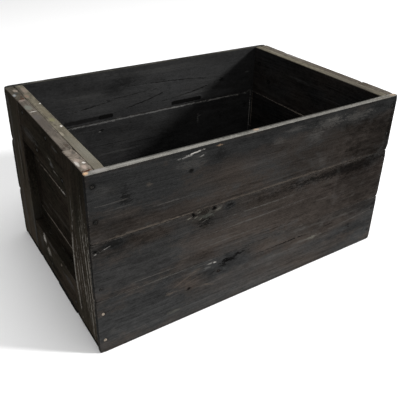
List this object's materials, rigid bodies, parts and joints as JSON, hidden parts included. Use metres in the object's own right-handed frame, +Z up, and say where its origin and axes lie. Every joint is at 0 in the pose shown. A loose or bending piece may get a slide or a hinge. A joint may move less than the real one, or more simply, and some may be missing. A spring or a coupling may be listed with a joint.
{
  "type": "wooden crate",
  "caption": "Nailed wooden crate, open at the top, with dark stained side boards, framed ends with a shallow finger recess, and a boarded floor.",
  "frame": {"origin": "middle of the underside, at the height of what the crate stands on", "axes": "+X along the crate's length, -Y out of its front long side, +Z up"},
  "size_m": [0.57, 0.368, 0.3],
  "materials": {
    "side_boards": "near-black stain, worn grey-beige along the rim",
    "panel_boards": "near-black stain, bare on the top edge",
    "frame_boards": "dark brown-grey stain, rubbed along the grain",
    "floor_boards": "dark stain",
    "nails": "dull, stained over, partly rubbed bright"
  },
  "bodies": {
    "root": {"front_board_bottom": "side_boards", "front_board_middle": "side_boards", "front_board_top": "side_boards", "back_board_bottom": "side_boards", "back_board_middle": "side_boards", "back_board_top": "side_boards", "left_panel_bottom": "panel_boards", "left_panel_middle": "panel_boards", "left_panel_top": "panel_boards", "right_panel_bottom": "panel_boards", "right_panel_middle": "panel_boards", "right_panel_top": "panel_boards", "left_stile_front": "frame_boards", "left_stile_back": "frame_boards", "left_rail_top": "frame_boards", "left_rail_bottom": "frame_boards", "right_stile_front": "frame_boards", "right_stile_back": "frame_boards", "right_rail_top": "frame_boards", "right_rail_bottom": "frame_boards", "floor_board_1": "floor_boards", "floor_board_2": "floor_boards", "floor_board_3": "floor_boards", "floor_board_4": "floor_boards", "front_nails": "nails", "back_nails": "nails", "left_panel_nails": "nails", "right_panel_nails": "nails", "left_rail_nails": "nails", "right_rail_nails": "nails", "left_floor_nails": "nails", "right_floor_nails": "nails"}
  },
  "joints": []
}
